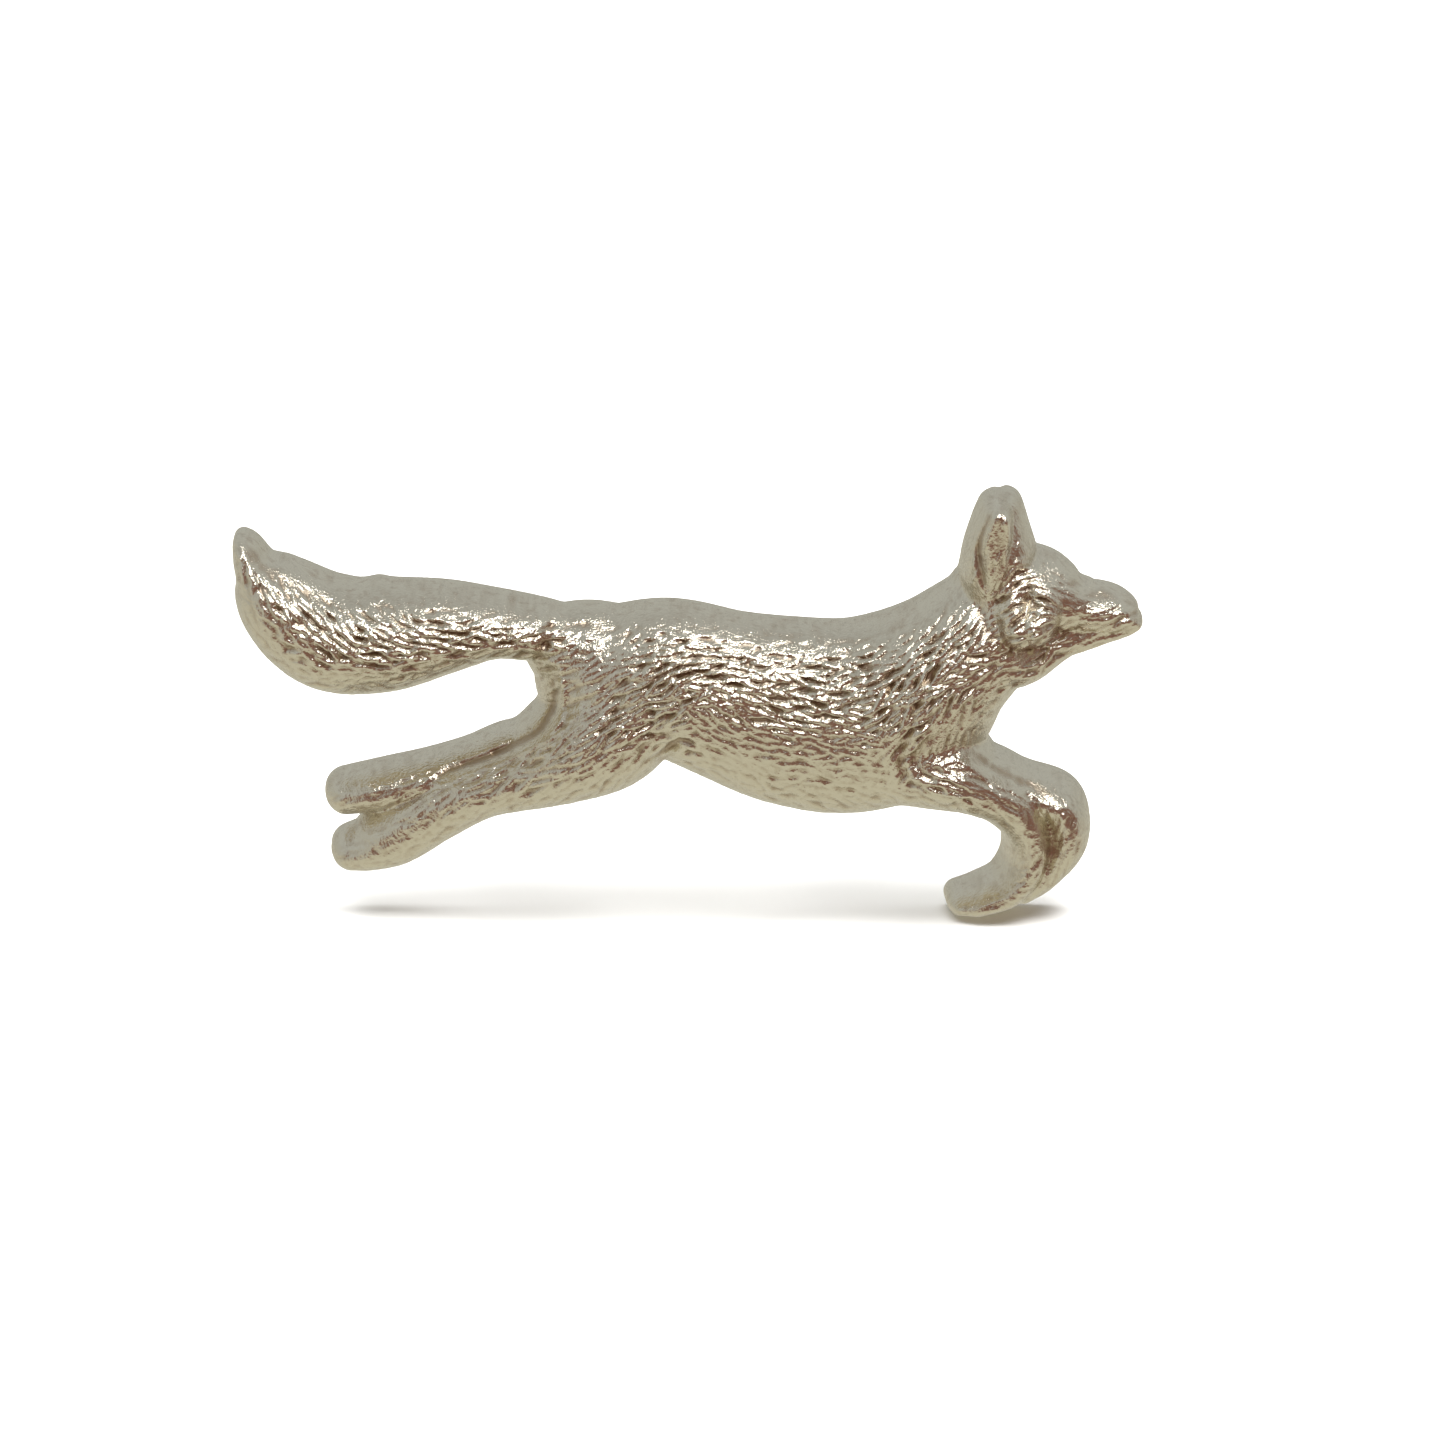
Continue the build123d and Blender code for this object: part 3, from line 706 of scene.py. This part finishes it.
stage = {
    "floorColour": (0.95, 0.95, 0.94),
    "floorDrop": 0.3,       # mm below the part
    "floorSize": 4.0,       # metres
    "domeGlow": (1.0, 1.0, 1.0),
    "domeRadius": 1.6,      # metres
    "domeStep": 10,         # degrees round
    "domeRings": 19,
    "domeTop": 89,          # degrees up
}
floorZ = cadLow[2] - stage["floorDrop"] * mm
paleFloor = plainSurface("pale floor", stage["floorColour"])
floor = card("floor", (0, 0, floorZ), (stage["floorSize"],) * 2, (0, 0, 1), paleFloor)
floor.visible_glossy = False  # the metal mirrors the studio's lower half, which is as light as the floor


def backdropDome():
    # A pale sphere round everything: radius times (cos up cos turn, cos up sin turn, sin up). It is only
    # looked at, and neither lights nor shades anything.
    turns = np.radians(np.arange(0, 360, stage["domeStep"]))
    ups = np.radians(np.linspace(-stage["domeTop"], stage["domeTop"], stage["domeRings"]))
    turn, up = np.meshgrid(turns, ups, indexing="ij")
    points = np.stack([np.cos(up) * np.cos(turn), np.cos(up) * np.sin(turn), np.sin(up)], -1)
    number = np.arange(turn.size).reshape(turn.shape)
    following = np.roll(number, -1, 0)
    faces = np.stack([number[:, :-1], number[:, 1:], following[:, 1:], following[:, :-1]], -1).reshape(-1, 4)
    mesh = bpy.data.meshes.new("backdrop")
    mesh.from_pydata((points.reshape(-1, 3) * stage["domeRadius"]).tolist(), [], faces.tolist())
    glow = plainSurface("pale backdrop", (0, 0, 0))
    shader = glow.node_tree.nodes["Principled BSDF"]
    shader.inputs["Specular IOR Level"].default_value = 0
    shader.inputs["Emission Color"].default_value = (*stage["domeGlow"], 1)
    shader.inputs["Emission Strength"].default_value = 1.0
    mesh.materials.append(glow)
    dome = bpy.data.objects.new("backdrop", mesh)
    bpy.context.scene.collection.objects.link(dome)
    dome.visible_diffuse = False
    dome.visible_glossy = False
    dome.visible_transmission = False
    dome.visible_shadow = False


backdropDome()

# the studio all round. Each row: height above the horizon as the sine of its angle, and the light from there
studio = {
    "darkSide": (0.5, -0.866, 0.0),
    "blend": (0.6, 0.1),    # cosines to the dark side: the front list at the first, the back at the second
    "front": [
        (-1.0, (0.66, 0.64, 0.52)), (-0.42, (0.62, 0.6, 0.48)), (-0.28, (0.26, 0.145, 0.11)),
        (0.1, (0.24, 0.13, 0.1)), (0.5, (0.22, 0.125, 0.1)), (0.72, (0.36, 0.36, 0.34)),
        (1.0, (0.42, 0.43, 0.42)),
    ],
    "back": [
        (-1.0, (0.66, 0.64, 0.52)), (-0.3, (0.6, 0.58, 0.49)), (0.0, (0.5, 0.5, 0.45)),
        (0.6, (0.54, 0.56, 0.55)), (1.0, (0.42, 0.43, 0.42)),
    ],
}


def studioWorld():
    # the front list and the back list, blended by how far a direction points towards the dark side
    world = bpy.data.worlds.new("studio")
    bpy.context.scene.world = world
    world.use_nodes = True
    nodes, links = world.node_tree.nodes, world.node_tree.links
    where = nodes.new("ShaderNodeTexCoord")
    split = nodes.new("ShaderNodeSeparateXYZ")
    links.new(where.outputs["Generated"], split.inputs["Vector"])
    up = nodes.new("ShaderNodeMapRange")
    up.inputs["From Min"].default_value = -1.0
    links.new(split.outputs["Z"], up.inputs["Value"])
    turned = nodes.new("ShaderNodeVectorMath")
    turned.operation = "DOT_PRODUCT"
    turned.inputs[1].default_value = studio["darkSide"]
    links.new(where.outputs["Generated"], turned.inputs[0])
    side = nodes.new("ShaderNodeMapRange")
    side.interpolation_type = "SMOOTHSTEP"
    side.inputs["From Min"].default_value, side.inputs["From Max"].default_value = studio["blend"]
    links.new(turned.outputs["Value"], side.inputs["Value"])
    mix = nodes.new("ShaderNodeMix")
    mix.data_type = "RGBA"
    links.new(side.outputs["Result"], mix.inputs["Factor"])
    for name, socket in (("front", "A"), ("back", "B")):
        ramp = nodes.new("ShaderNodeValToRGB")
        rows = studio[name]
        while len(ramp.color_ramp.elements) < len(rows):
            ramp.color_ramp.elements.new(0.5)
        for stop, (height, colour) in zip(ramp.color_ramp.elements, rows):
            stop.position = (height + 1) / 2
            stop.color = (*colour, 1)
        links.new(up.outputs["Result"], ramp.inputs["Fac"])
        links.new(ramp.outputs["Color"], [x for x in mix.inputs if x.name == socket and x.type == "RGBA"][0])
    links.new([x for x in mix.outputs if x.type == "RGBA"][0], nodes["Background"].inputs["Color"])


studioWorld()


def softLight(name, kind, place, power):
    # a light that looks at the object from its place
    light = bpy.data.lights.new(name, kind)
    light.energy = power
    lamp = bpy.data.objects.new(name, light)
    lamp.location = place
    lamp.rotation_euler = (-Vector(place)).to_track_quat("-Z", "Y").to_euler()
    bpy.context.scene.collection.objects.link(lamp)
    return lamp


lamps = {
    "softboxPlace": (0.12, -0.14, 0.42),    # metres
    "softboxSize": (0.26, 0.15),
    "softboxPower": 1.1,                    # watts
    "floorPlace": (0.0, -0.1, 0.6),
    "floorPower": 4.5,                      # watts on a square metre
    "floorAngle": 1.2,                      # radians, the width of that light as seen from the floor
}
softbox = softLight("overhead softbox", "AREA", lamps["softboxPlace"], lamps["softboxPower"])
softbox.data.shape = "RECTANGLE"
softbox.data.size, softbox.data.size_y = lamps["softboxSize"]
floorLight = softLight("floor light", "SUN", lamps["floorPlace"], lamps["floorPower"])
floorLight.data.angle = lamps["floorAngle"]
floorLight.visible_glossy = False  # lights the floor and isn't mirrored in the metal
bpy.context.scene.view_settings.view_transform = "Standard"
print("studio lit")

camera = bpy.data.cameras.new("camera")
camera.lens = shot["lens"]
camera.clip_start = shot["nearClip"]
cameraObject = bpy.data.objects.new("camera", camera)
bpy.context.scene.collection.objects.link(cameraObject)
aim = Vector((shot["aimX"] * mm, 0, shot["aimZ"] * mm))
away = Vector((0, -np.cos(tilt), np.sin(tilt)))
cameraObject.location = aim + away * shot["distance"]
cameraObject.rotation_euler = away.to_track_quat("Z", "Y").to_euler()
bpy.context.scene.camera = cameraObject
